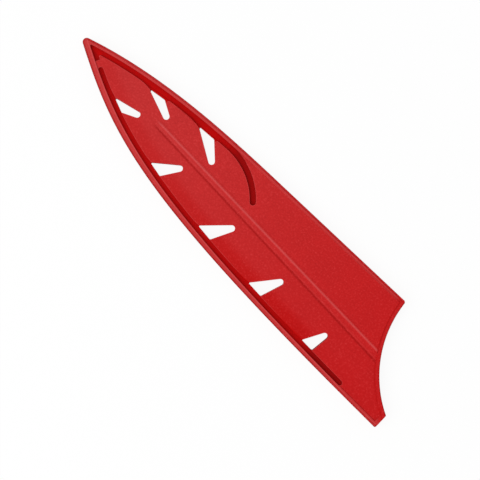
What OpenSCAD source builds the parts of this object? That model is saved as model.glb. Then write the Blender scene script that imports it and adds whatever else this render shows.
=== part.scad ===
// Knife blade guard: two moulded half shells, welded round the rim, with an open end for the blade.
// +X runs from the tip to the heel, +Y to the spine side, +Z out of the front face.
// The origin is under the middle of the outline, on the plane that the guard lies on.

/* [Overall size] */
// Length from the tip to the heel
guard_l = 218; // [180:1:262]
// Width from the edge side to the spine side
guard_w = 51.4; // [43:0.2:62]
// Clear gap between the shells where the flat of the blade lies
blade_gap = 2.6; // [2:0.1:3.4]
// Wall of the panels and of the channel floors
wall = 1.2; // [1:0.1:1.6]

/* [Outline] */
// How far the sharp tip lies below the straight spine
tip_drop = 12.8; // [9:0.1:16]
// Slope of the edge side at the tip, in degrees
tip_edge_angle = 29.4; // [26:0.1:33]
// Slope of the spine side at the tip, in degrees
tip_spine_angle = 18.2; // [15:0.1:21]
// Rounding of the tip
tip_r = 1.9; // [1.2:0.1:2.6]
// Length of the curved stretch of the spine, from the tip
spine_curve_l = 114; // [90:1:136]
// Slope of the edge side at the heel, in degrees
heel_angle = 1.4; // [0.5:0.1:3]
// Rounding of the heel corner
heel_r = 0.8; // [0.4:0.1:1.5]
// Rounding of the corner between the spine and the mouth
corner_r = 1.1; // [0.6:0.1:1.8]
// How far the mouth's spine corner lies back from the heel
mouth_setback = 29; // [20:0.5:35]
// Height of the short square end at the heel
heel_end_h = 7.4; // [6:0.1:9]
// Radius of the hollow mouth
mouth_r = 54; // [46:1:80]

/* [Rim] */
// Width of the rim on the edge side, at the tip
rim_edge_tip_w = 2.8; // [2.2:0.1:3.2]
// Width of the rim on the edge side, at the end of the channel
rim_edge_w = 1.95; // [1.8:0.05:2.4]
// Width of the rim on the spine side
rim_spine_w = 2; // [1.8:0.1:2.4]
// Width of the strip along the mouth
rim_mouth_w = 2; // [1.4:0.1:2.4]
// Height of the rim over the panels
bead_rise = 0.45; // [0.2:0.05:0.6]
// Width of the low ledge outside the rim
ledge_w = 1; // [0.6:0.05:1.1]
// How far the ledge lies below the top of the rim
ledge_drop = 0.2; // [0.1:0.05:0.35]

/* [Channels] */
// Width of the channel on the edge side
edge_channel_w = 2.35; // [2:0.05:3]
// Width of the channel on the spine side, at the tip
spine_channel_tip_w = 2.4; // [2.1:0.1:2.7]
// Width of the channel on the spine side, at the grip rib
spine_channel_w = 2.9; // [2.4:0.1:3.2]
// Length over which a channel widens before each window
scallop_l = 8; // [5:0.5:10]
// Widening of the edge channel at a window
edge_scallop = 0.5; // [0.3:0.05:0.6]
// Widening of the spine channel at a window
spine_scallop = 1.3; // [0.9:0.05:1.5]
// Rounding of the panel's corner behind a spine window
panel_corner_r = 1.3; // [0.8:0.1:1.6]
// Distance from the tip to the start of the edge channel
edge_channel_start = 15.2; // [14:0.1:19]
// Distance from the heel to the end of the edge channel
edge_channel_end = 25.6; // [18:0.1:30]
// Length of the bridge between the tip recess and the edge channel
tip_bridge_l = 3.9; // [3:0.1:5]
// Wall between a channel and the blade space
side_wall = 0.8; // [0.6:0.05:1]

/* [Grip rib] */
// Distance from the tip to where the grip rib leaves the rim
rib_start = 83; // [78:0.5:90]
// Radius of the rib's curve
rib_r = 32; // [27:0.5:38]
// Turn of the rib's curve, in degrees
rib_turn = 49; // [40:1:55]
// Gap that the two ribs leave for the blade
grip_gap = 1.8; // [1.4:0.1:1.9]
// Skin between the groove and the rib's crest
rib_skin = 0.6; // [0.5:0.05:0.8]

/* [Windows] */
// Distance from the tip to the first edge window
window_first = 29.6; // [27:0.1:34]
// Distance from the heel to the last edge window
window_last = 51; // [44:0.1:58]
// Rounding of a window's inner end
window_end_r = 1.5; // [1.2:0.05:1.7]
// Rounding of its leading corner
window_lead_r = 0.4; // [0.25:0.05:0.6]
// Rounding of an edge window's trailing corner
window_trail_r = 0.75; // [0.5:0.05:1]
// Rounding of a spine window's trailing corner
spine_trail_r = 0.95; // [0.6:0.05:1.1]

/* [Flared spine panel] */
// Distance from the tip to where the panel begins to rise
flare_start = 49; // [44:0.5:56]
// Rise of the panel at the mouth
flare_rise = 0.75; // [0.45:0.05:0.9]
// Rise of the crest where it begins
crest_start_rise = 0.35; // [0.25:0.05:0.45]
// Length over which the crest begins
crest_head_l = 3; // [1.5:0.1:6]
// Length of the level stretch, measured back from the mouth's spine corner
flare_level_l = 14; // [8:0.5:24]
// Distance from the spine down to the crest of the step where it begins
crest_start_drop = 17; // [15:0.1:19]
// Distance from the spine down to the crest of the step at the mouth
crest_end_drop = 24.8; // [22:0.1:27]
// Width of the sloped step where it begins
step_start_w = 2.2; // [1.6:0.1:2.8]
// Width of the sloped step at the mouth
step_end_w = 3.9; // [3:0.1:4.6]
// Depth of the shallow valleys on both sides of the crest
crest_depth = 0.16; // [0.08:0.02:0.2]

/* [Weld joint] */
// Distance from the outline to the tongue
tongue_inset = 0.6; // [0.5:0.05:0.8]
// Width of the tongue
tongue_w = 0.7; // [0.5:0.05:0.8]
// Height of the tongue
tongue_h = 0.5; // [0.4:0.05:0.6]
// Clearance round the tongue in its groove
tongue_gap = 0.1; // [0.05:0.01:0.15]
// Distance from the mouth to the ends of the tongue
tongue_stop = 2.5; // [1.5:0.1:4]

/* [Hidden] */
red = "#c4202a";

// Each edge window's place between the first and the last, length of base, lean and reach of its inner
// end, and the step from the channel's inner line to its base
edge_windows = [
    [0, 5.8, 19.5, 9.3, 0.05],
    [0.232, 6.2, 46.5, 11.1, 0.05],
    [0.491, 7, 52.5, 12.7, 0.1],
    [0.742, 7, 59.5, 12.2, 0.15],
    [1, 5.5, 70.5, 9.1, 0.1],
];
// Each spine window's distance from the tip, length of base, lean, reach and step likewise
spine_windows = [
    [38.5, 7, -26, 10.7, 0.8],
    [66.6, 7.6, -38, 13.1, 0.45],
];

// Reach of each curve's two inner control points, as shares of its length
edge_reach = [0.22, 0.7];
spine_reach = [0.355, 0.293];

// Rounding where the short square end meets the mouth, and the least roundings of an inset outline
end_r = 0.5;
least_tip_r = 0.5;
least_corner_r = 0.3;
// How far the lines of a widening start and end beyond the lines that they meet
scallop_start = 0.06;
// How much longer than the widening and the rounded corner the thicker skin under them is
skin_lap = 1.2;
// How much narrower the round ends of the grooves are than the grooves, so that no two lines just touch
end_ease = 0.1;
// Lengths over which the blade space widens past the end of the edge channel and past the rib's start
edge_widening_l = 5;
spine_widening_l = 8;
// How far past the mouth's spine corner the step reaches its full width
step_past_corner = 6;
// Curve of the step: above 1 it grows steeper towards its crest
step_curve = 1.4;
// Section of the crest: distances over the crest line, each with its share of the valleys' depth
crest_section = [[-0.95, 1], [-0.6, 0.3], [-0.35, 0], [-0.1, 0.1], [0.35, 1], [0.6, 1]];
// Width over which the panel behind the crest comes back to its level
crest_return_w = 2.6;

// Points of a side closer than this to a corner's arc are left out
join_clear = 0.2;
side_steps = 64;
arc_steps = 8;
mouth_steps = 28;
flare_steps = 10;
head_steps = 3;
ramp_steps = 3;
circle_steps = 40;
rib_steps = 160;
search_span = 40;
search_steps = 24;
over = 1;

tip_x = -guard_l / 2;
heel_x = guard_l / 2;
spine_y = guard_w / 2;
edge_y = -guard_w / 2;

panel_h = blade_gap / 2 + wall;
rim_h = panel_h + bead_rise;
ledge_h = rim_h - ledge_drop;
mid_h = panel_h + flare_rise;

rib_x = tip_x + rib_start;
channel_end_x = heel_x - edge_channel_end;
taper_x = tip_x + edge_channel_start;
// Channels' floors under the widenings of the spine channel and over the grip rib
rib_floor_h = grip_gap / 2 + rib_skin;
corner = [heel_x - mouth_setback, spine_y];
heel_top = [heel_x, edge_y + heel_end_h];

// Sharp tip, set so that the rounded tip ends at tip_x
tip_half = (tip_edge_angle + tip_spine_angle) / 2;
tip_lean = (tip_spine_angle - tip_edge_angle) / 2;
sharp_tip = [tip_x + tip_r - tip_r / sin(tip_half) * cos(tip_lean), spine_y - tip_drop];

// Edge side and spine side as cubic curves from the sharp tip
edge_span = heel_x - sharp_tip.x;
edge_curve = [
    sharp_tip,
    sharp_tip + edge_reach[0] * edge_span * [cos(tip_edge_angle), -sin(tip_edge_angle)],
    [heel_x, edge_y] + edge_reach[1] * edge_span * [-cos(heel_angle), sin(heel_angle)],
    [heel_x, edge_y],
];
spine_curve = [
    sharp_tip,
    sharp_tip + spine_reach[0] * spine_curve_l * [cos(tip_spine_angle), sin(tip_spine_angle)],
    [sharp_tip.x + (1 - spine_reach[1]) * spine_curve_l, spine_y],
    [sharp_tip.x + spine_curve_l, spine_y],
];

function unit(v) = v / norm(v);
function mix(a, b, t) = a + (b - a) * t;
function polar(r, a) = r * [cos(a), sin(a)];
function limit(v, low, high) = min(max(v, low), high);
function crossing(p, u, q, v) = p + u * cross(q - p, v) / cross(u, v);
function ease(t) = let(u = limit(t, 0, 1)) u * u * (3 - 2 * u);

// Insets of the rim's inner line on the edge side and of the channels' inner lines, which taper
rim_edge_in = function(x)
    mix(rim_edge_tip_w, rim_edge_w, limit((x - taper_x) / (channel_end_x - taper_x), 0, 1));
edge_panel_in = function(x) rim_edge_in(x) + edge_channel_w;
spine_panel_in = function(x)
    rim_spine_w + mix(spine_channel_tip_w, spine_channel_w, limit((x - taper_x) / (rib_x - taper_x), 0, 1));

function curve_point(c, t) =
    pow(1 - t, 3) * c[0] + 3 * pow(1 - t, 2) * t * c[1] + 3 * (1 - t) * t * t * c[2] + pow(t, 3) * c[3];
function curve_slope(c, t) =
    unit(pow(1 - t, 2) * (c[1] - c[0]) + 2 * (1 - t) * t * (c[2] - c[1]) + t * t * (c[3] - c[2]));

// Points of the edge side, moved inward by inset(x), and of the spine side likewise
function edge_points(inset) = [
    for (i = [0 : side_steps])
        let(p = curve_point(edge_curve, i / side_steps), d = curve_slope(edge_curve, i / side_steps))
            p + inset(p.x) * [-d.y, d.x]
];
function spine_points(inset) = concat(
    [
        for (i = [0 : side_steps])
            let(p = curve_point(spine_curve, i / side_steps), d = curve_slope(spine_curve, i / side_steps))
                p + inset(p.x) * [d.y, -d.x]
    ],
    [
        for (i = [1 : side_steps])
            let(x = mix(spine_curve[3].x, heel_x + over, i / side_steps))
                [x, spine_y - inset(x)]
    ]
);
function edge_height(x, inset) = lookup(x, edge_points(function(x) inset));
function spine_height(x, inset) = lookup(x, spine_points(function(x) inset));
function edge_at(x, inset) = [x, edge_height(x, inset)];
function spine_at(x, inset) = [x, spine_height(x, inset)];

// Where the edge side and the spine side meet near the tip, each moved inward
function meet(low, high, edge_line, spine_line, steps) =
    let(x = (low + high) / 2)
        steps == 0 ? [x, lookup(x, edge_line)]
        : lookup(x, spine_line) > lookup(x, edge_line)
            ? meet(low, x, edge_line, spine_line, steps - 1)
            : meet(x, high, edge_line, spine_line, steps - 1);
function tip_centre(edge_in, spine_in, r) =
    meet(
        sharp_tip.x, tip_x + search_span,
        edge_points(function(x) edge_in + r), spine_points(function(x) spine_in + r), search_steps
    );

function arc(centre, r, from, to, steps) =
    [for (i = [0 : steps]) centre + polar(r, mix(from, to, i / steps))];

// Profile of the guard closed by a straight end, as [edge points, end points, spine and tip points]
function closed_profile(edge_inset, spine_inset, end_in, r) =
    let(
        edge_in = edge_inset(tip_x),
        spine_in = spine_inset(tip_x),
        c = tip_centre(edge_in, spine_in, r),
        edge = [for (p = edge_points(edge_inset)) if (p.x > c.x && p.x < heel_x - end_in) p],
        spine = [for (p = spine_points(spine_inset)) if (p.x > c.x && p.x < heel_x - end_in) p],
        start = atan2((edge[0] - c).y, (edge[0] - c).x),
        first = unit(edge[1] - edge[0]),
        last = unit(spine[1] - spine[0]),
        from = atan2(last.x, -last.y),
        to = 360 + atan2(-first.x, first.y)
    )
        concat(
            arc(c, r, from, to, arc_steps),
            edge,
            [[heel_x - end_in, edge[len(edge) - 1].y], [heel_x - end_in, spine[len(spine) - 1].y]],
            [for (i = [len(spine) - 1 : -1 : 0]) spine[i]]
        );

// Circle through both ends of the mouth, on the blade's side
mouth_centre =
    let(chord = heel_top - corner, reach = sqrt(mouth_r * mouth_r - chord * chord / 4))
        (corner + heel_top) / 2 + reach * unit([-chord.y, chord.x]);

// Outline with the hollow mouth cut in it and every corner rounded
function outline(edge_inset, spine_in, mouth_in) =
    let(
        tip_in = edge_inset(tip_x),
        edge_in = edge_inset(heel_x),
        r = max(tip_r - min(tip_in, spine_in), least_tip_r),
        c = tip_centre(tip_in, spine_in, r),
        big = mouth_r + mouth_in,
        rs = max(corner_r - min(spine_in, mouth_in), least_corner_r),
        rh = max(heel_r - min(edge_in, mouth_in), least_corner_r),
        sy = spine_y - spine_in - rs,
        sc = [mouth_centre.x - sqrt(pow(big + rs, 2) - pow(sy - mouth_centre.y, 2)), sy],
        ex = heel_x - mouth_in - end_r,
        ec = [ex, mouth_centre.y - sqrt(pow(big + end_r, 2) - pow(ex - mouth_centre.x, 2))],
        hc = edge_at(heel_x - mouth_in - rh, edge_in + rh),
        edge = [for (p = edge_points(edge_inset)) if (p.x > c.x && p.x < hc.x - join_clear) p],
        spine = [for (p = spine_points(function(x) spine_in)) if (p.x > c.x && p.x < sc.x - join_clear) p],
        first = unit(edge[1] - edge[0]),
        last = unit(spine[1] - spine[0]),
        to_spine = atan2((sc - mouth_centre).y, (sc - mouth_centre).x),
        to_end = atan2((ec - mouth_centre).y, (ec - mouth_centre).x)
    )
        concat(
            arc(c, r, atan2(last.x, -last.y), 360 + atan2(-first.x, first.y), arc_steps),
            edge,
            arc(hc, rh, -90 - heel_angle, 0, arc_steps),
            arc(ec, end_r, 0, to_end + 180, arc_steps),
            arc(mouth_centre, big, to_end, to_spine - (to_spine > to_end ? 360 : 0), mouth_steps),
            arc(sc, rs, to_spine + 180 - (to_spine > 0 ? 360 : 0), 90, arc_steps),
            [for (i = [len(spine) - 1 : -1 : 0]) spine[i]]
        );

// The blade space keeps a side wall to the channels, and widens to the rim past their ends
edge_space = function(x)
    mix(edge_panel_in(x) + side_wall, rim_edge_w, ease((x - channel_end_x - side_wall) / edge_widening_l));
spine_space = function(x)
    mix(spine_panel_in(x) + side_wall, rim_spine_w, ease((x - rib_x - side_wall) / spine_widening_l));

// Convex outline round circles given as [x, y, radius], counterclockwise
function tangent_angle(a, b) =
    let(d = [b[0] - a[0], b[1] - a[1]])
        atan2(d.y, d.x) - acos((a[2] - b[2]) / norm(d));
function wrap(a) = a - 360 * floor(a / 360);
function around(circles) =
    let(n = len(circles))
        [
            for (i = [0 : n - 1])
                let(
                    c = circles[i],
                    from = tangent_angle(circles[(i + n - 1) % n], c),
                    turn = wrap(tangent_angle(c, circles[(i + 1) % n]) - from)
                )
                    for (k = [0 : arc_steps])
                        [c[0], c[1]] + polar(c[2], from + turn * k / arc_steps)
        ];

// Drain window as circles in its two base corners and its round inner end
function edge_window(w) =
    let(x = edge_window_x(w), far = x + w[1], mid = x + w[1] / 2)
        [
            circle_at(edge_at(x, edge_panel_in(x) + w[4] + window_lead_r), window_lead_r),
            circle_at(edge_at(far, edge_panel_in(far) + w[4] + window_trail_r), window_trail_r),
            circle_at(edge_at(mid, edge_panel_in(mid) + w[4]) + polar(w[3], w[2]), window_end_r),
        ];
function spine_window(w) =
    let(x = spine_window_x(w), far = x + w[1], mid = x + w[1] / 2)
        [
            circle_at(spine_at(mid, spine_panel_in(mid) + w[4]) + polar(w[3], w[2]), window_end_r),
            circle_at(spine_at(far, spine_panel_in(far) + w[4] + spine_trail_r), spine_trail_r),
            circle_at(spine_at(x, spine_panel_in(x) + w[4] + window_lead_r), window_lead_r),
        ];
function circle_at(p, r) = [p.x, p.y, r];
function edge_window_x(w) = mix(tip_x + window_first, heel_x - window_last, w[0]);
function spine_window_x(w) = tip_x + w[0];

module windows() {
    for (w = edge_windows)
        polygon(around(edge_window(w)));
    for (w = spine_windows)
        polygon(around(spine_window(w)));
}

// Widening of a channel up to and along a window; side(x, step) is a point by its channel's inner line
module scallop(side, x, base, depth) {
    polygon(concat(
        [side(x + base, -depth), side(x + base, depth)],
        [
            for (i = [arc_steps : -1 : 0])
                let(share = i / arc_steps)
                    side(x - scallop_l * (1 - share), mix(-scallop_start, depth, share * share))
        ],
        [side(x - scallop_l, -depth)]
    ));
}
function by_edge_channel(x, step) = edge_at(x, edge_panel_in(x) + step);
function by_spine_channel(x, step) = spine_at(x, spine_panel_in(x) + step);

// Acute corner of the panel behind a spine window, as its point, then the directions of the channel's
// line and of the window's line
function panel_corner(w) =
    let(
        circles = spine_window(w),
        inner = circles[0],
        trail = circles[1],
        centre = [trail[0], trail[1]],
        down = unit([inner[0], inner[1]] - centre),
        normal = polar(1, tangent_angle(inner, trail)),
        along = unit(by_spine_channel(centre.x + scallop_l, 0) - by_spine_channel(centre.x, 0)),
        window_line = unit(down - normal * (down * normal))
    )
        [
            crossing(centre + trail[2] * normal, window_line, by_spine_channel(centre.x, 0), along),
            along,
            window_line,
        ];

// Space cut away when that corner is rounded
module corner_cut(w) {
    c = panel_corner(w);
    middle = unit(c[1] + c[2]);
    half = acos(c[1] * c[2]) / 2;
    centre = c[0] + middle * (panel_corner_r - scallop_start) / sin(half);
    back = atan2(-middle.y, -middle.x);
    polygon(concat(
        [c[0] - middle * scallop_start / sin(half) * 2],
        arc(centre, panel_corner_r, back + 90 - half, back - 90 + half, arc_steps)
    ));
}

// Plan of the spine channel's widenings, whose floors lie over the blade space
module spine_scallops() {
    for (w = spine_windows) {
        scallop(function(x, step) by_spine_channel(x, step), spine_window_x(w), w[1], spine_scallop);
        corner_cut(w);
    }
}

// Plan of the thicker skin under them
module spine_skins() {
    depth = spine_scallop + side_wall;
    for (w = spine_windows) {
        x = spine_window_x(w);
        c = panel_corner(w);
        reach = panel_corner_r / tan(acos(c[1] * c[2]) / 2) + skin_lap;
        polygon([
            by_spine_channel(x - scallop_l, 0),
            by_spine_channel(x, depth),
            by_spine_channel(x + w[1] / 2, depth),
            by_spine_channel(x + w[1] / 2, 0),
        ]);
        polygon([c[0] - c[1] * skin_lap, c[0] + c[2] * reach, c[0] + c[1] * reach]);
    }
}

// Plan of the raised panel between the channels
module panel_plan() {
    polygon(closed_profile(edge_panel_in, spine_panel_in, 0, least_tip_r));
}

// Plan of the blade space, which runs out through the mouth
module space_plan() {
    polygon(closed_profile(edge_space, spine_space, rim_mouth_w, least_tip_r));
}

module inside_rim() {
    polygon(outline(rim_edge_in, rim_spine_w, rim_mouth_w));
}

// Plan of the whole guard without a strip along its two long sides
module plan(strip) {
    polygon(outline(function(x) strip, strip, 0));
}

// Channels beside the rim: the tip recess, the spine channel and the edge channel
module channel_plan() {
    start = by_edge_channel(taper_x, -edge_channel_w / 2);
    end = by_edge_channel(channel_end_x, -edge_channel_w / 2);
    bridge = by_edge_channel(start.x - tip_bridge_l, -edge_channel_w / 2);
    run = start - bridge;
    difference() {
        inside_rim();
        panel_plan();
        // Spine side past the rib's start
        translate([rib_x, 0])
            square([guard_l, guard_w]);
        // Bridge between the tip recess and the edge channel
        translate(bridge)
            rotate(atan2(run.y, run.x))
                translate([0, -edge_channel_w])
                    square([norm(run), 2 * edge_channel_w]);
        // Edge side past the channel's end
        translate([channel_end_x, -guard_w])
            square([guard_l, guard_w]);
    }
    for (p = [start, end])
        translate(p)
            circle(d = edge_channel_w - end_ease, $fn = circle_steps);
    for (w = edge_windows)
        scallop(function(x, step) by_edge_channel(x, step), edge_window_x(w), w[1], edge_scallop);
}

// Plan of the curved groove over the grip rib, grown by a margin
module rib_plan(margin) {
    centre = spine_at(rib_x, rim_spine_w + spine_channel_w / 2) - [0, rib_r];
    half = spine_channel_w / 2 + margin;
    translate(centre)
        intersection() {
            difference() {
                circle(r = rib_r + half, $fn = rib_steps);
                circle(r = rib_r - half, $fn = rib_steps);
            }
            polygon([[0, 0], polar(2 * rib_r, 90 - rib_turn), [2 * rib_r, 2 * rib_r], [0, 2 * rib_r]]);
        }
    translate(centre + polar(rib_r, 90 - rib_turn))
        circle(r = half - end_ease / 2, $fn = circle_steps);
}

// Flared part of the spine panel over height 0, running on below by depth. Its step curves up to a
// ridge crest between two shallow valleys, and the panel behind it lies level with the crest.
flare_x = tip_x + flare_start;
level_x = corner.x - flare_level_l;
function flare_at(x) = limit((x - flare_x) / (level_x - flare_x), 0, 1);
function flare_section(x, depth) =
    let(
        share = (x - flare_x) / (corner.x + step_past_corner - flare_x),
        crest = spine_y - mix(crest_start_drop, crest_end_drop, share),
        foot = crest - mix(step_start_w, step_end_w, share),
        ramp_end = crest + crest_section[0][0],
        head = ease((x - flare_x) / crest_head_l),
        top = mix(crest_start_rise, flare_rise, flare_at(x)),
        side = flare_rise * flare_at(x),
        end = spine_y + over
    )
        concat(
            [[x, foot, -depth]],
            [
                for (k = [0 : ramp_steps - 1])
                    let(t = k / ramp_steps)
                        [x, mix(foot, ramp_end, t), head * (top - crest_depth) * pow(t, step_curve)]
            ],
            [for (c = crest_section) [x, crest + c[0], head * (top - crest_depth * c[1])]],
            [
                [x, crest + crest_return_w, head * mix(top, side, crest_return_w / (end - crest))],
                [x, end, side],
                [x, end, -depth],
            ]
        );
module flare(depth) {
    head_x = flare_x + crest_head_l;
    stations = concat(
        [for (i = [0 : head_steps - 1]) mix(flare_x, head_x, i / head_steps)],
        [for (i = [0 : flare_steps]) mix(head_x, level_x, i / flare_steps)],
        [heel_x]
    );
    sections = [for (x = stations) flare_section(x, depth)];
    n = len(sections[0]);
    last = len(sections) - 1;
    polyhedron(
        [for (section = sections) for (p = section) p],
        concat(
            [[for (k = [n - 1 : -1 : 0]) k]],
            [for (i = [0 : last - 1]) for (k = [0 : n - 1]) for (f = flare_faces(i, k, n)) f],
            [[for (k = [0 : n - 1]) n * last + k]]
        )
    );
}
function flare_faces(i, k, n) =
    let(a = n * i + k, b = n * i + (k + 1) % n)
        [[a, b, b + n], [a, b + n, a + n]];

// One half of the guard over its parting plane, which lies at height 0
module shell() {
    difference() {
        union() {
            linear_extrude(panel_h)
                plan(0);
            linear_extrude(ledge_h)
                difference() {
                    plan(0);
                    inside_rim();
                }
            linear_extrude(rim_h)
                difference() {
                    plan(ledge_w);
                    inside_rim();
                }
            intersection() {
                translate([0, 0, panel_h])
                    flare(wall / 2);
                translate([0, 0, blade_gap / 2])
                    linear_extrude(mid_h)
                        inside_rim();
            }
        }
        translate([0, 0, wall])
            linear_extrude(mid_h)
                channel_plan();
        translate([0, 0, rib_floor_h])
            linear_extrude(mid_h) {
                rib_plan(0);
                spine_scallops();
            }
        translate([0, 0, -over])
            linear_extrude(mid_h + 2 * over)
                windows();
        blade_space();
    }
}

// Space for the blade in one shell, with the grip rib and the skins standing in it
module blade_space() {
    difference() {
        union() {
            translate([0, 0, -over])
                linear_extrude(over + blade_gap / 2)
                    space_plan();
            intersection() {
                translate([0, 0, blade_gap / 2])
                    flare(blade_gap / 4);
                linear_extrude(mid_h)
                    space_plan();
            }
        }
        translate([0, 0, grip_gap / 2])
            linear_extrude(mid_h) {
                rib_plan(side_wall);
                spine_skins();
            }
    }
}

// Plan of the tongue along the rim, grown by a clearance
module tongue_plan(gap) {
    outer = tongue_inset - gap;
    inner = tongue_inset + tongue_w + gap;
    difference() {
        polygon(outline(function(x) outer, outer, tongue_stop - gap));
        polygon(closed_profile(function(x) inner, function(x) inner, -over, least_tip_r));
    }
}

module tongue() {
    translate([0, 0, -over])
        linear_extrude(over + tongue_h)
            tongue_plan(0);
}

// Groove for the tongue, running on below the parting plane
module tongue_groove() {
    linear_extrude(over + tongue_h + tongue_gap)
        tongue_plan(tongue_gap);
}

module front_shell() {
    color(red)
        translate([0, 0, mid_h])
            difference() {
                shell();
                translate([0, 0, -over])
                    tongue_groove();
            }
}

module back_shell() {
    color(red)
        translate([0, 0, mid_h]) {
            mirror([0, 0, 1])
                shell();
            tongue();
        }
}

front_shell();
back_shell();
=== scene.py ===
import math

import bpy
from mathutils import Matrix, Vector


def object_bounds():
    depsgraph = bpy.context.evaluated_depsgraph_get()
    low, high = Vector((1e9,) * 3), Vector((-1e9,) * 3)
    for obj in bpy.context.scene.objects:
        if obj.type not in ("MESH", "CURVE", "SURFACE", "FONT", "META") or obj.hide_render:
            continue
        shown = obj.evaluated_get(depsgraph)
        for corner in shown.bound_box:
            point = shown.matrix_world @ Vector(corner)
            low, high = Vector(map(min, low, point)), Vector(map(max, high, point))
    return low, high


bl_info = {
    "name": "Knife Blade Guard",
    "version": (1, 0, 0),
    "blender": (4, 5, 0),
    "location": "View3D > Sidebar > Blade Guard",
    "description": "Finishes the two moulded shells of a knife blade guard and lights them for a product view",
    "category": "Object",
}

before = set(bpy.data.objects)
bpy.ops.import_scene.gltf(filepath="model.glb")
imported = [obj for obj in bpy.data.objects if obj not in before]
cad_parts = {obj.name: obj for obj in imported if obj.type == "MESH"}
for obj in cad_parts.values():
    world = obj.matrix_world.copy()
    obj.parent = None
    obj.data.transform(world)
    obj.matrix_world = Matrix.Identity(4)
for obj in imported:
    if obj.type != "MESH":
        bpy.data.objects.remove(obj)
CAD_LOW, CAD_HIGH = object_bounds()

MM = 0.001
PARTING = (CAD_LOW.z + CAD_HIGH.z) / 2

# Heights over the parting plane: highest groove floor, lowest face outside the grooves, low ledge, rim's top
GROOVE_FLOOR = 1.55 * MM
FACE_LOW = 2.0 * MM
LEDGE_HEIGHT = 2.75 * MM
RIM_HEIGHT = 2.95 * MM

# Crest of the sloped step: where it begins and ends along X, and its distances there from the spine
STEP_START = -60 * MM
STEP_END = 86 * MM
SPINE = 25.7 * MM
CREST_DROPS = (17 * MM, 24.8 * MM)
STEP_WIDTHS = (2.2 * MM, 3.9 * MM)
# Fine lines along the step: whether from its crest (0) or its foot (1), middle and reach in millimetres. They
# strengthen the small ridge and valleys in the solid: Ridge and Lip are painted highlights, Valley and Foot
# painted shade
STEP_LINES = (
    ("Valley", 0, 0.8, 0.6),
    ("Ridge", 0, -0.35, 0.85),
    ("Lip", 1, 0.35, 0.6),
    ("Foot", 1, -0.55, 0.85),
)

# Edge side as a cubic curve from the sharp tip to the heel in millimetres, and the range of Y it lies in
EDGE_CURVE = ((-111.8, 12.9), (-69.5, -10.9), (-45.5, -21.9), (109.0, -25.7))
EDGE_RANGE = (-26.0, 13.0)
# Where the rim's taper on the edge side starts and ends along X, its widths there, and the channel's width
RIM_TAPER = ((-93.8 * MM, 83.4 * MM), (2.8 * MM, 1.95 * MM))
CHANNEL_WIDTH = 2.35 * MM
# Places of the last two edge windows' leading corners, and length and depth of the channel's widening, which
# is only painted shade and has no shape in the solid
WIDENINGS = ((22.5 * MM, 12 * MM, 0.9 * MM), (58 * MM, 24 * MM, 1.1 * MM))
# Line along the middle of the guard that parts the edge channel from the spine channel: fall and place
MIDDLE_FALL = 0.15
MIDDLE_PLACE = 3.45 * MM

# Centre and radius of the hollow mouth, and the width of the strip along it
MOUTH_CENTRE = (133.9 * MM, 29.6 * MM, 0)
MOUTH_RADIUS = 54 * MM
STRIP_WIDTH = 2 * MM
# Width and softness of the painted shade line along the outline
OUTLINE_WIDTH = 0.3 * MM
OUTLINE_SOFT = 0.15 * MM

# Middle of the photo's view, its turn in degrees and the camera's default sensor width in millimetres
VIEW_MIDDLE = (5.64 * MM, -5.51 * MM)
FRONT_TURN = 43.24
SENSOR_WIDTH = 36


class GuardPlastic(bpy.types.PropertyGroup):
    """Colour and surface of the moulded plastic"""

    shell_red: bpy.props.FloatVectorProperty(
        name="Shell red",
        description="Colour of the panels and the rim at the mouth",
        subtype="COLOR",
        size=3,
        min=0,
        max=1,
        default=(0.505, 0.0075, 0.0085),
    )
    # Painted sheen: the panels and the rim are paler towards the tip
    tip_sheen_red: bpy.props.FloatVectorProperty(
        name="Tip sheen red",
        description="Slightly paler painted sheen on the panels and the rim at the tip",
        subtype="COLOR",
        size=3,
        min=0,
        max=1,
        default=(0.505, 0.024, 0.024),
    )
    # Painted shade colour, laid on the channels' floors, at the strip's foot and beside the edge channel
    groove_shade_red: bpy.props.FloatVectorProperty(
        name="Groove shade red",
        description="Painted shade on the floors of the channels",
        subtype="COLOR",
        size=3,
        min=0,
        max=1,
        default=(0.47, 0.0, 0.0),
    )
    # Darkest painted shade, in the grip rib's groove and at the edge channel's ends
    rib_shade_red: bpy.props.FloatVectorProperty(
        name="Rib groove shade red",
        description="Darkest painted shade, in the grip rib's groove and at the ends of the edge channel",
        subtype="COLOR",
        size=3,
        min=0,
        max=1,
        default=(0.31, 0.0, 0.0),
    )
    # Painted highlight on the rim's top, its rounded edges, two fine lines and the step's ridge and lip; the
    # grain's pale flecks use it too
    highlight_and_fleck_red: bpy.props.FloatVectorProperty(
        name="Highlight and fleck red",
        description="Painted highlight along the rounded outer edges and the step's ridge",
        subtype="COLOR",
        size=3,
        min=0,
        max=1,
        default=(0.62, 0.09, 0.09),
    )
    # Painted shade along the outline, on the ledge and its edges, and at the step's valley and foot
    corner_shade_red: bpy.props.FloatVectorProperty(
        name="Corner shade red",
        description="Painted shade along the outline and the step's foot",
        subtype="COLOR",
        size=3,
        min=0,
        max=1,
        default=(0.3, 0.0, 0.0),
    )
    roughness: bpy.props.FloatProperty(
        name="Roughness",
        description="Roughness of the moulded faces",
        subtype="FACTOR",
        min=0,
        max=1,
        default=0.52,
    )
    grain_size: bpy.props.FloatProperty(
        name="Grain size",
        description="Size of one grain of the fine moulded texture",
        unit="LENGTH",
        min=0.00005,
        max=0.005,
        default=0.0008,
    )
    grain_depth: bpy.props.FloatProperty(
        name="Grain depth",
        description="Depth of the fine moulded texture",
        unit="LENGTH",
        min=0,
        max=0.0005,
        default=0.00002,
    )
    edge_round: bpy.props.FloatProperty(
        name="Edge rounding",
        description="Radius to which the sharp edges are softened in the shading",
        unit="LENGTH",
        min=0,
        max=0.001,
        default=0.00015,
    )


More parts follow.
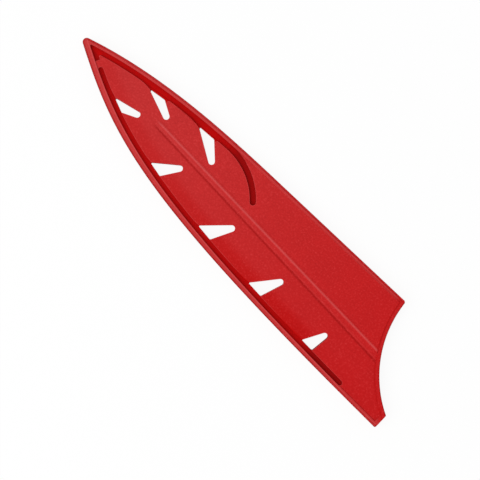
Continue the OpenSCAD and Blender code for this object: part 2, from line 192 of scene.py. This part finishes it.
class GuardStage(bpy.types.PropertyGroup):
    """Floor, lamps and camera"""

    floor_white: bpy.props.FloatVectorProperty(
        name="Floor white",
        description="Colour of the floor",
        subtype="COLOR",
        size=3,
        min=0,
        max=1,
        default=(0.9, 0.9, 0.9),
    )
    floor_lift: bpy.props.FloatProperty(
        name="Floor lift",
        description="Share of plain white that the camera sees on the floor",
        subtype="FACTOR",
        min=0,
        max=1,
        default=0.92,
    )
    key_power: bpy.props.FloatProperty(
        name="Key lamp",
        description="Power of the large lamp on the edge side",
        unit="POWER",
        min=0,
        default=5.3,
    )
    fill_power: bpy.props.FloatProperty(
        name="Overhead lamp",
        description="Power of the wide lamp overhead",
        unit="POWER",
        min=0,
        default=1.3,
    )
    room_light: bpy.props.FloatProperty(
        name="Room light",
        description="Strength of the even light all round",
        subtype="FACTOR",
        min=0,
        max=2,
        default=0.62,
    )
    lens: bpy.props.FloatProperty(
        name="Lens",
        description="Focal length of the camera in millimetres",
        unit="CAMERA",
        min=20,
        max=300,
        default=120,
    )
    view_width: bpy.props.FloatProperty(
        name="View width",
        description="Width that the camera sees at the parting plane",
        unit="LENGTH",
        min=0.1,
        max=1,
        default=0.2195,
    )


def link(tree, source, target):
    tree.links.new(source, target)


def math_node(tree, operation, *values, clamp=False):
    """Adds a Math node; each value is a number or an output"""
    node = tree.nodes.new("ShaderNodeMath")
    node.operation = operation
    node.use_clamp = clamp
    for socket, value in zip(node.inputs, values):
        if isinstance(value, bpy.types.NodeSocket):
            link(tree, value, socket)
        else:
            socket.default_value = value
    return node.outputs["Value"]


def product(tree, first, *others):
    """Product of two or more values"""
    for value in others:
        first = math_node(tree, "MULTIPLY", first, value)
    return first


def mapped(tree, value, start, end, low, high, clamp=True):
    """Value carried from start..end over to low..high"""
    node = tree.nodes.new("ShaderNodeMapRange")
    node.clamp = clamp
    for name, number in (("From Min", start), ("From Max", end), ("To Min", low), ("To Max", high)):
        node.inputs[name].default_value = number
    link(tree, value, node.inputs["Value"])
    return node.outputs["Result"]


def ramp_between(tree, value, low, high):
    """Share from 0 at low to 1 at high, eased at both ends"""
    node = tree.nodes.new("ShaderNodeMapRange")
    node.interpolation_type = "SMOOTHSTEP"
    node.inputs["From Min"].default_value = low
    node.inputs["From Max"].default_value = high
    link(tree, value, node.inputs["Value"])
    return node.outputs["Result"]


def new_group(name, inputs, outputs):
    """New node group with number sockets of the given names"""
    tree = bpy.data.node_groups.new(name, "ShaderNodeTree")
    for way, names in (("INPUT", inputs), ("OUTPUT", outputs)):
        for socket_name in names:
            tree.interface.new_socket(socket_name, in_out=way, socket_type="NodeSocketFloat")
    return tree, tree.nodes.new("NodeGroupInput"), tree.nodes.new("NodeGroupOutput")


def group_node(tree, name, build):
    """Adds a node of the named group, which is built on its first use"""
    node = tree.nodes.new("ShaderNodeGroup")
    node.node_tree = bpy.data.node_groups.get(name) or build(name)
    return node


def place_parts(tree):
    """Object coordinates along the guard, across it and up from the parting plane, without sign"""
    place = tree.nodes.new("ShaderNodeTexCoord")
    split = tree.nodes.new("ShaderNodeSeparateXYZ")
    link(tree, place.outputs["Object"], split.inputs["Vector"])
    height = math_node(tree, "ABSOLUTE", math_node(tree, "SUBTRACT", split.outputs["Z"], PARTING))
    return split.outputs["X"], split.outputs["Y"], height


def shade_and_sheen_group(name):
    """Masks of the groove floors, which lie flat and near the parting plane, of where their painted shade is
    darkest, and of the painted sheen's share towards the tip
    """
    tree, _, outputs = new_group(name, (), ("Groove", "Deep", "Tip"))
    along, across, height = place_parts(tree)
    shape = tree.nodes.new("ShaderNodeNewGeometry")
    facing = tree.nodes.new("ShaderNodeSeparateXYZ")
    link(tree, shape.outputs["True Normal"], facing.inputs["Vector"])
    flat = ramp_between(tree, math_node(tree, "ABSOLUTE", facing.outputs["Z"]), 0.5, 0.9)
    low = math_node(tree, "SUBTRACT", 1.0, ramp_between(tree, height, GROOVE_FLOOR, FACE_LOW))
    link(tree, product(tree, flat, low), outputs.inputs["Groove"])

    # The painted shade is darkest at the edge channel's ends and in the spine's groove on the grip rib
    lean = math_node(tree, "MULTIPLY_ADD", along, MIDDLE_FALL, MIDDLE_PLACE)
    spine_side = math_node(tree, "GREATER_THAN", math_node(tree, "ADD", across, lean), 0.0)
    ends = product(tree, ramp_between(tree, along, -60 * MM, -95 * MM), 0.4)
    ends = math_node(tree, "MAXIMUM", ends, ramp_between(tree, along, 55 * MM, 68 * MM))
    rib = ramp_between(tree, along, -30 * MM, -20 * MM)
    deep = tree.nodes.new("ShaderNodeMix")
    link(tree, spine_side, deep.inputs["Factor"])
    link(tree, ends, deep.inputs["A"])
    link(tree, rib, deep.inputs["B"])
    link(tree, deep.outputs["Result"], outputs.inputs["Deep"])
    # Share of the painted sheen, growing towards the tip
    link(tree, ramp_between(tree, along, 110 * MM, -110 * MM), outputs.inputs["Tip"])
    return tree


def line_mask(tree, value, middle, reach):
    """Soft line: 1 where the value is at its middle, 0 from the reach on"""
    off = math_node(tree, "ABSOLUTE", math_node(tree, "SUBTRACT", value, middle))
    return math_node(tree, "SUBTRACT", 1.0, ramp_between(tree, off, 0.0, reach))


def band_mask(tree, value, low, high, soft):
    """Soft band: 1 from low to high"""
    over = ramp_between(tree, value, low - soft, low)
    return math_node(tree, "SUBTRACT", over, ramp_between(tree, value, high, high + soft))


def over_step(tree, along, across):
    """Distances over the crest line and over the foot of the sloped step"""
    share = mapped(tree, along, STEP_START, STEP_END, 0, 1, clamp=False)
    places = [across]
    for start, end in ((CREST_DROPS[0] - SPINE, CREST_DROPS[1] - SPINE), STEP_WIDTHS):
        line = math_node(tree, "MULTIPLY_ADD", share, end - start, start)
        places.append(math_node(tree, "ADD", places[-1], line))
    return places[1], places[2]


def mouth_reach(tree, along, across):
    """Distance from the centre of the hollow mouth"""
    place = tree.nodes.new("ShaderNodeCombineXYZ")
    link(tree, along, place.inputs["X"])
    link(tree, across, place.inputs["Y"])
    reach = tree.nodes.new("ShaderNodeVectorMath")
    reach.operation = "DISTANCE"
    reach.inputs[1].default_value = MOUTH_CENTRE
    link(tree, place.outputs["Vector"], reach.inputs[0])
    return reach.outputs["Value"]


def step_tone_group(name):
    """Masks of the four fine lines along the sloped step, for its painted highlights and painted shade"""
    tree, _, outputs = new_group(name, (), [line[0] for line in STEP_LINES])
    along, across, height = place_parts(tree)
    strip = MOUTH_RADIUS + STRIP_WIDTH
    shown = product(
        tree,
        ramp_between(tree, along, STEP_START, STEP_START + 4 * MM),
        ramp_between(tree, height, GROOVE_FLOOR, FACE_LOW),
        ramp_between(tree, mouth_reach(tree, along, across), strip, strip + 0.5 * MM),
    )
    places = over_step(tree, along, across)
    for line, start, middle, reach in STEP_LINES:
        near = line_mask(tree, places[start], middle * MM, reach * MM)
        link(tree, product(tree, near, shown), outputs.inputs[line])
    return tree


def edge_inset(tree, along, across):
    """Distance in from the edge side, whose curve a Float Curve node holds as shares of its two ranges"""
    start, end = EDGE_CURVE[0][0], EDGE_CURVE[3][0]
    low, high = EDGE_RANGE
    node = tree.nodes.new("ShaderNodeFloatCurve")
    curve = node.mapping.curves[0]
    steps = 12
    for i in range(steps + 1):
        t = i / steps
        shares = ((1 - t) ** 3, 3 * (1 - t) ** 2 * t, 3 * (1 - t) * t * t, t**3)
        x = sum(share * point[0] for share, point in zip(shares, EDGE_CURVE))
        y = sum(share * point[1] for share, point in zip(shares, EDGE_CURVE))
        place = ((x - start) / (end - start), (y - low) / (high - low))
        if i in (0, steps):
            curve.points[i // steps].location = place
        else:
            curve.points.new(*place)
    node.mapping.update()
    link(tree, mapped(tree, along, start * MM, end * MM, 0, 1), node.inputs["Value"])
    edge = mapped(tree, node.outputs["Value"], 0, 1, low * MM, high * MM)

    # Cosine of the edge side's slope, which turns the distance along Y into the one square to the edge
    upright = mapped(tree, along, -110 * MM, -30 * MM, 0.87, 0.98)
    return product(tree, math_node(tree, "SUBTRACT", across, edge), upright)


def widening_mask(tree, along, past_channel):
    """Where the edge channel's painted shade reaches in before the last two windows, past the channel in the
    solid
    """
    reach = 0.0
    for window, length, depth in WIDENINGS:
        share = math_node(tree, "POWER", mapped(tree, along, window - length, window, 0, 1), 1.5)
        share = product(tree, share, depth, math_node(tree, "LESS_THAN", along, window + 1 * MM))
        reach = math_node(tree, "MAXIMUM", reach, share)
    room = math_node(tree, "SUBTRACT", reach, past_channel)
    return product(
        tree,
        ramp_between(tree, room, 0, 0.3 * MM),
        ramp_between(tree, past_channel, -0.6 * MM, -0.3 * MM),
        math_node(tree, "GREATER_THAN", reach, 0.02 * MM),
    )


def outline_tone_group(name):
    """Masks beside the outline: its painted dark line, painted highlight lines on the rim, painted shade at
    the strip's foot, and the edge panel's tones
    """
    masks = ("Outline", "Inner Line", "Outer Line", "Strip Foot", "Widening", "Beside")
    tree, _, outputs = new_group(name, (), masks)
    along, across, height = place_parts(tree)
    inset = edge_inset(tree, along, across)
    (start, end), (wide, narrow) = RIM_TAPER
    past_rim = math_node(tree, "SUBTRACT", inset, mapped(tree, along, start, end, wide, narrow))
    past_channel = math_node(tree, "SUBTRACT", past_rim, CHANNEL_WIDTH)
    from_mouth = mouth_reach(tree, along, across)

    # Painted shade: a dark line along the outline and the mouth
    outline = math_node(
        tree,
        "MAXIMUM",
        band_mask(tree, inset, 0, OUTLINE_WIDTH, OUTLINE_SOFT),
        band_mask(tree, from_mouth, MOUTH_RADIUS, MOUTH_RADIUS + OUTLINE_WIDTH, OUTLINE_SOFT),
    )
    # Painted highlights: two pale lines along the rim on the edge side
    inner = line_mask(tree, past_rim, -0.4 * MM, 0.4 * MM)
    outer = product(
        tree,
        line_mask(tree, inset, 0.75 * MM, 0.35 * MM),
        mapped(tree, along, -60 * MM, 60 * MM, 0.3, 1),
    )
    # Painted shade along the foot of the strip at the mouth
    strip_foot = line_mask(tree, from_mouth, MOUTH_RADIUS + STRIP_WIDTH + 0.1 * MM, 0.9 * MM)

    # Deeper red beside the channel: it grows from the tip and fades past the last window
    beside = product(
        tree,
        band_mask(tree, past_channel, 0, 2.5 * MM, 6 * MM),
        mapped(tree, along, -85 * MM, 40 * MM, 0.3, 0.75),
        mapped(tree, along, 56 * MM, 68 * MM, 1, 0.2),
    )
    widening = widening_mask(tree, along, past_channel)
    outside = ramp_between(tree, height, GROOVE_FLOOR, FACE_LOW)
    for output, mask in zip(masks, (outline, inner, outer, strip_foot, widening, beside)):
        link(tree, product(tree, mask, outside), outputs.inputs[output])
    return tree


def rim_tone_group(name):
    """Masks of the rim's top and of the low ledge outside it, and of all but the strip along the mouth"""
    tree, _, outputs = new_group(name, (), ("Top", "Ledge", "Inland"))
    along, across, height = place_parts(tree)
    reach = mouth_reach(tree, along, across)
    inland = ramp_between(tree, reach, MOUTH_RADIUS + 3 * MM, MOUTH_RADIUS + 5 * MM)
    link(tree, inland, outputs.inputs["Inland"])

    # The flared panel passes through the same heights, so it is told apart by its place
    _, over_foot = over_step(tree, along, across)
    limit = mapped(tree, along, STEP_START, 0, 18 * MM, 23.65 * MM)
    flared = product(
        tree,
        math_node(tree, "GREATER_THAN", over_foot, -0.5 * MM),
        math_node(tree, "LESS_THAN", across, limit),
        math_node(tree, "GREATER_THAN", along, STEP_START),
    )
    share = product(tree, inland, math_node(tree, "SUBTRACT", 1.0, flared))
    for output, middle in (("Top", RIM_HEIGHT), ("Ledge", LEDGE_HEIGHT)):
        band = band_mask(tree, height, middle - 0.04 * MM, middle + 0.04 * MM, 0.05 * MM)
        link(tree, product(tree, band, share), outputs.inputs[output])
    return tree


def edge_tone_group(name):
    """Mask of the outer edges"""
    tree, inputs, outputs = new_group(name, ("Crest Reach",), ("Crest",))
    shut = tree.nodes.new("ShaderNodeAmbientOcclusion")
    shut.inside = True
    shut.only_local = True
    shut.samples = 8
    link(tree, inputs.outputs["Crest Reach"], shut.inputs["Distance"])
    near = math_node(tree, "SUBTRACT", 1.0, shut.outputs["AO"])
    link(tree, ramp_between(tree, near, 0.08, 0.42), outputs.inputs["Crest"])
    return tree


def moulded_grain_group(name):
    """Fine moulded texture: its height, and a slow mottle of the colour"""
    tree, inputs, outputs = new_group(name, ("Grain Scale", "Mottle Scale"), ("Height", "Mottle"))
    place = tree.nodes.new("ShaderNodeTexCoord")
    for scale, detail, output in (("Grain Scale", 2.0, "Height"), ("Mottle Scale", 4.0, "Mottle")):
        noise = tree.nodes.new("ShaderNodeTexNoise")
        noise.inputs["Detail"].default_value = detail
        noise.inputs["Roughness"].default_value = 0.6
        link(tree, place.outputs["Object"], noise.inputs["Vector"])
        link(tree, inputs.outputs[scale], noise.inputs["Scale"])
        link(tree, noise.outputs["Fac"], outputs.inputs[output])
    return tree


def mixed(tree, first, second, factor, blend="MIX"):
    """Mix of two colours, each a property or an output"""
    layer = tree.nodes.new("ShaderNodeMix")
    layer.data_type = "RGBA"
    layer.blend_type = blend
    for socket, value in ((layer.inputs["A"], first), (layer.inputs["B"], second)):
        if isinstance(value, bpy.types.NodeSocket):
            link(tree, value, socket)
        else:
            socket.default_value = (*value, 1)
    if isinstance(factor, bpy.types.NodeSocket):
        link(tree, factor, layer.inputs["Factor"])
    else:
        layer.inputs["Factor"].default_value = factor
    return layer.outputs["Result"]


def moulded_plastic(name, plastic, mottle_size):
    """Matte red plastic with a fine grain, painted shade in the grooves, painted highlights and shade along
    its edges, and soft along its edges
    """
    material = bpy.data.materials.new(name)
    material.use_nodes = True
    tree = material.node_tree
    shader = tree.nodes["Principled BSDF"]
    depth = group_node(tree, "Shade and sheen masks", shade_and_sheen_group).outputs
    step = group_node(tree, "Step tone", step_tone_group).outputs
    rim = group_node(tree, "Rim tone", rim_tone_group).outputs
    side = group_node(tree, "Outline tone", outline_tone_group).outputs
    edge = group_node(tree, "Edge tone", edge_tone_group)
    edge.inputs["Crest Reach"].default_value = 0.45 * MM
    grain = group_node(tree, "Moulded grain", moulded_grain_group)
    grain.inputs["Grain Scale"].default_value = 1 / plastic.grain_size
    grain.inputs["Mottle Scale"].default_value = 1 / mottle_size
    grain = grain.outputs

    # Colour: painted sheen paler to the tip, painted highlights on the rim, its edges and the ridge, and
    # painted shade on the ledge, along the outline, at the foot and in grooves
    # Painted highlight along the outer edges inland, and painted shade along the ledge's edges
    crest = product(tree, edge.outputs["Crest"], rim["Inland"])
    brim = product(tree, edge.outputs["Crest"], rim["Ledge"])
    colour = mixed(tree, plastic.shell_red, plastic.tip_sheen_red, depth["Tip"])
    for mask, share, red in (
        (side["Beside"], 1.0, plastic.groove_shade_red),
        (rim["Top"], 0.2, plastic.highlight_and_fleck_red),
        (crest, 0.35, plastic.highlight_and_fleck_red),
        (side["Inner Line"], 0.45, plastic.highlight_and_fleck_red),
        (side["Outer Line"], 0.45, plastic.highlight_and_fleck_red),
        (side["Strip Foot"], 0.5, plastic.groove_shade_red),
        (side["Outline"], 0.8, plastic.corner_shade_red),
        (rim["Ledge"], 0.22, plastic.corner_shade_red),
        (brim, 0.95, plastic.corner_shade_red),
        (step["Ridge"], 0.55, plastic.highlight_and_fleck_red),
        (step["Lip"], 0.1, plastic.highlight_and_fleck_red),
        (step["Valley"], 0.18, plastic.corner_shade_red),
        (step["Foot"], 0.65, plastic.corner_shade_red),
        (ramp_between(tree, grain["Height"], 0.5, 0.8), 0.2, plastic.highlight_and_fleck_red),
    ):
        colour = mixed(tree, colour, red, product(tree, mask, share))
    # Painted shade on the groove floors and the painted widening, darkest in the rib's groove and at the edge
    # channel's ends
    floor_shade_red = mixed(tree, plastic.groove_shade_red, plastic.rib_shade_red, depth["Deep"])
    colour = mixed(tree, colour, floor_shade_red, math_node(tree, "MAXIMUM", depth["Groove"], side["Widening"]))

    # Slow mottle and the fine grain's own light and dark
    cloud = math_node(tree, "MULTIPLY_ADD", grain["Mottle"], 0.14, 0.73)
    speckle = math_node(tree, "MULTIPLY_ADD", grain["Height"], 0.4, cloud)
    shade = tree.nodes.new("ShaderNodeCombineColor")
    for channel in shade.inputs:
        link(tree, speckle, channel)
    link(tree, mixed(tree, colour, shade.outputs["Color"], 1.0, "MULTIPLY"), shader.inputs["Base Color"])

    # Surface: grooves are a little duller, and the grain breaks up the shine
    sheen = math_node(tree, "MULTIPLY_ADD", grain["Height"], 0.12, plastic.roughness - 0.06)
    rough = math_node(tree, "MULTIPLY_ADD", depth["Groove"], 0.15, sheen, clamp=True)
    link(tree, rough, shader.inputs["Roughness"])
    shader.inputs["Specular IOR Level"].default_value = 0.07

    soft = tree.nodes.new("ShaderNodeBevel")
    soft.samples = 6
    soft.inputs["Radius"].default_value = plastic.edge_round
    bump = tree.nodes.new("ShaderNodeBump")
    bump.inputs["Strength"].default_value = 1.0
    bump.inputs["Distance"].default_value = plastic.grain_depth
    link(tree, grain["Height"], bump.inputs["Height"])
    link(tree, soft.outputs["Normal"], bump.inputs["Normal"])
    link(tree, bump.outputs["Normal"], shader.inputs["Normal"])
    return material


def finish_node(node, material):
    """Gives a CAD node its material in every slot"""
    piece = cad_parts.get(node)
    if piece is None:
        raise RuntimeError(f"the packed model has no node named {node}")
    piece.data.materials.clear()
    piece.data.materials.append(material)
    return piece


class GUARD_OT_front_shell(bpy.types.Operator):
    """Finish the front shell in moulded red plastic"""

    bl_idname = "guard.front_shell"
    bl_label = "Front Shell"

    def execute(self, context):
        plastic = context.scene.guard_plastic
        finish_node("front_shell", moulded_plastic("Front shell red", plastic, 9 * MM))
        return {"FINISHED"}


class GUARD_OT_back_shell(bpy.types.Operator):
    """Finish the back shell in moulded red plastic"""

    bl_idname = "guard.back_shell"
    bl_label = "Back Shell"

    def execute(self, context):
        plastic = context.scene.guard_plastic
        finish_node("back_shell", moulded_plastic("Back shell red", plastic, 11 * MM))
        return {"FINISHED"}


def seen_straight(tree):
    """1 for rays from the camera, off a gloss or through glass"""
    light = tree.nodes.new("ShaderNodeLightPath")
    seen = math_node(tree, "MAXIMUM", light.outputs["Is Camera Ray"], light.outputs["Is Glossy Ray"])
    return math_node(tree, "MAXIMUM", seen, light.outputs["Is Transmission Ray"])


def pale_floor(stage):
    """Floor material: pale under the lamps, and lifted towards white where the camera looks at it"""
    material = bpy.data.materials.new("Pale floor")
    material.use_nodes = True
    tree = material.node_tree
    shader = tree.nodes["Principled BSDF"]
    shader.inputs["Base Color"].default_value = (*stage.floor_white, 1)
    shader.inputs["Roughness"].default_value = 0.9
    shader.inputs["Specular IOR Level"].default_value = 0.1
    white = tree.nodes.new("ShaderNodeEmission")
    white.inputs["Color"].default_value = (1, 1, 1, 1)
    white.inputs["Strength"].default_value = 1.0
    blend = tree.nodes.new("ShaderNodeMixShader")
    link(tree, product(tree, seen_straight(tree), stage.floor_lift), blend.inputs["Fac"])
    link(tree, shader.outputs["BSDF"], blend.inputs[1])
    link(tree, white.outputs["Emission"], blend.inputs[2])
    link(tree, blend.outputs["Shader"], tree.nodes["Material Output"].inputs["Surface"])
    return material


def room(stage):
    """Even grey light all round, seen as white by the camera and in reflections"""
    world = bpy.data.worlds.new("Studio room")
    world.use_nodes = True
    tree = world.node_tree
    even = tree.nodes["Background"]
    even.inputs["Color"].default_value = (1, 1, 1, 1)
    even.inputs["Strength"].default_value = stage.room_light
    white = tree.nodes.new("ShaderNodeBackground")
    white.inputs["Color"].default_value = (1, 1, 1, 1)
    white.inputs["Strength"].default_value = 1.0
    blend = tree.nodes.new("ShaderNodeMixShader")
    link(tree, seen_straight(tree), blend.inputs["Fac"])
    link(tree, even.outputs["Background"], blend.inputs[1])
    link(tree, white.outputs["Background"], blend.inputs[2])
    link(tree, blend.outputs["Shader"], tree.nodes["World Output"].inputs["Surface"])
    return world


def soft_lamp(name, place, aim, width, power):
    """Square soft lamp at a place, aimed at a point"""
    bpy.ops.object.light_add(type="AREA", location=place)
    lamp = bpy.context.object
    lamp.name = name
    lamp.data.shape = "SQUARE"
    lamp.data.size = width
    lamp.data.energy = power
    lamp.rotation_euler = (Vector(aim) - Vector(place)).to_track_quat("-Z", "Y").to_euler()
    return lamp


class GUARD_OT_stage(bpy.types.Operator):
    """Set the floor, the lamps and the camera over the front face"""

    bl_idname = "guard.stage"
    bl_label = "Stage"

    def execute(self, context):
        scene = context.scene
        stage = scene.guard_stage
        bpy.ops.object.select_all(action="DESELECT")
        bpy.ops.mesh.primitive_plane_add(size=6, location=(0, 0, CAD_LOW.z - 0.05 * MM))
        floor = context.object
        floor.name = "floor"
        bpy.ops.object.transform_apply(location=True, rotation=False, scale=False)
        floor.data.materials.append(pale_floor(stage))
        scene.world = room(stage)

        middle = Vector((0, 0, PARTING))
        soft_lamp("Key lamp", (-0.25, -0.5, 0.85), middle, 0.9, stage.key_power)
        soft_lamp("Overhead lamp", (-0.4, 0.15, 1.1), middle, 0.9, stage.fill_power)

        distance = stage.lens / SENSOR_WIDTH * stage.view_width
        bpy.ops.object.camera_add(
            location=(*VIEW_MIDDLE, PARTING + distance),
            rotation=(0, 0, math.radians(FRONT_TURN)),
        )
        camera = context.object
        camera.data.lens = stage.lens
        camera.data.clip_start = 0.01
        camera.data.clip_end = 20
        scene.camera = camera
        scene.view_settings.view_transform = "Standard"
        return {"FINISHED"}


class GUARD_PT_sidebar(bpy.types.Panel):
    """Blade guard tools in the 3D view's sidebar"""

    bl_idname = "GUARD_PT_sidebar"
    bl_label = "Blade Guard"
    bl_space_type = "VIEW_3D"
    bl_region_type = "UI"
    bl_category = "Blade Guard"

    def draw(self, context):
        layout = self.layout
        for settings, operators in (
            (context.scene.guard_plastic, (GUARD_OT_front_shell, GUARD_OT_back_shell)),
            (context.scene.guard_stage, (GUARD_OT_stage,)),
        ):
            box = layout.box()
            for name in settings.__annotations__:
                box.prop(settings, name)
            for operator in operators:
                box.operator(operator.bl_idname)


CLASSES = (
    GuardPlastic,
    GuardStage,
    GUARD_OT_front_shell,
    GUARD_OT_back_shell,
    GUARD_OT_stage,
    GUARD_PT_sidebar,
)


def register():
    for cls in CLASSES:
        bpy.utils.register_class(cls)
    bpy.types.Scene.guard_plastic = bpy.props.PointerProperty(type=GuardPlastic)
    bpy.types.Scene.guard_stage = bpy.props.PointerProperty(type=GuardStage)


def unregister():
    del bpy.types.Scene.guard_stage
    del bpy.types.Scene.guard_plastic
    for cls in reversed(CLASSES):
        bpy.utils.unregister_class(cls)


def main():
    register()
    bpy.ops.guard.stage()
    bpy.ops.guard.front_shell()
    bpy.ops.guard.back_shell()


if __name__ == "__main__":
    main()
